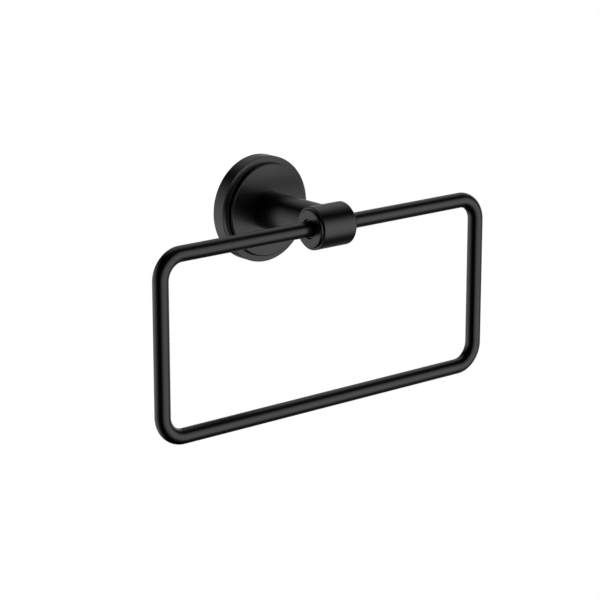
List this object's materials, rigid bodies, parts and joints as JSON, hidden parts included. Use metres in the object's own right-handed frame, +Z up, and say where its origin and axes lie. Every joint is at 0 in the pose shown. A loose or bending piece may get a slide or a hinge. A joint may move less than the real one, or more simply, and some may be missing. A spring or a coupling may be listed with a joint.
{
  "type": "towel ring",
  "caption": "Wall-mounted towel ring: stepped round rosette, round post, short barrel with raised end caps, and a rounded-rectangle ring of round rod that swings in it.",
  "frame": {"origin": "centre of the wall bracket's back face, on the wall, on the axis of the post", "axes": "+Y into the wall along the post's axis, +X along the ring's top rod to the right as seen by someone who faces the wall, +Z up"},
  "size_m": [0.216, 0.0681, 0.1235],
  "materials": {
    "matte_black": "satin to matte black powder coat, fine and even",
    "blackened_steel": "black oxide",
    "bright_steel": "plain turned stainless steel",
    "bracket_zinc": "bare die-cast zinc, dull",
    "sleeve_plastic": "black nylon"
  },
  "bodies": {
    "wall_part": {"wall_bracket": "bracket_zinc", "rosette": "matte_black", "set_screw": "blackened_steel", "tie_bolt": "bright_steel", "tie_washer": "bright_steel", "post": "matte_black", "head": "matte_black", "end_cap_left": "matte_black", "bush_left": "sleeve_plastic", "end_cap_right": "matte_black", "bush_right": "sleeve_plastic"},
    "ring_part": {"ring": "matte_black"}
  },
  "joints": [
    {"name": "ring_swing", "type": "hinge", "parent": "wall_part", "child": "ring_part", "pos_m": [0, -0.05707, 0], "axis": [-1, 0, 0], "range_deg": [-35, 215]}
  ]
}
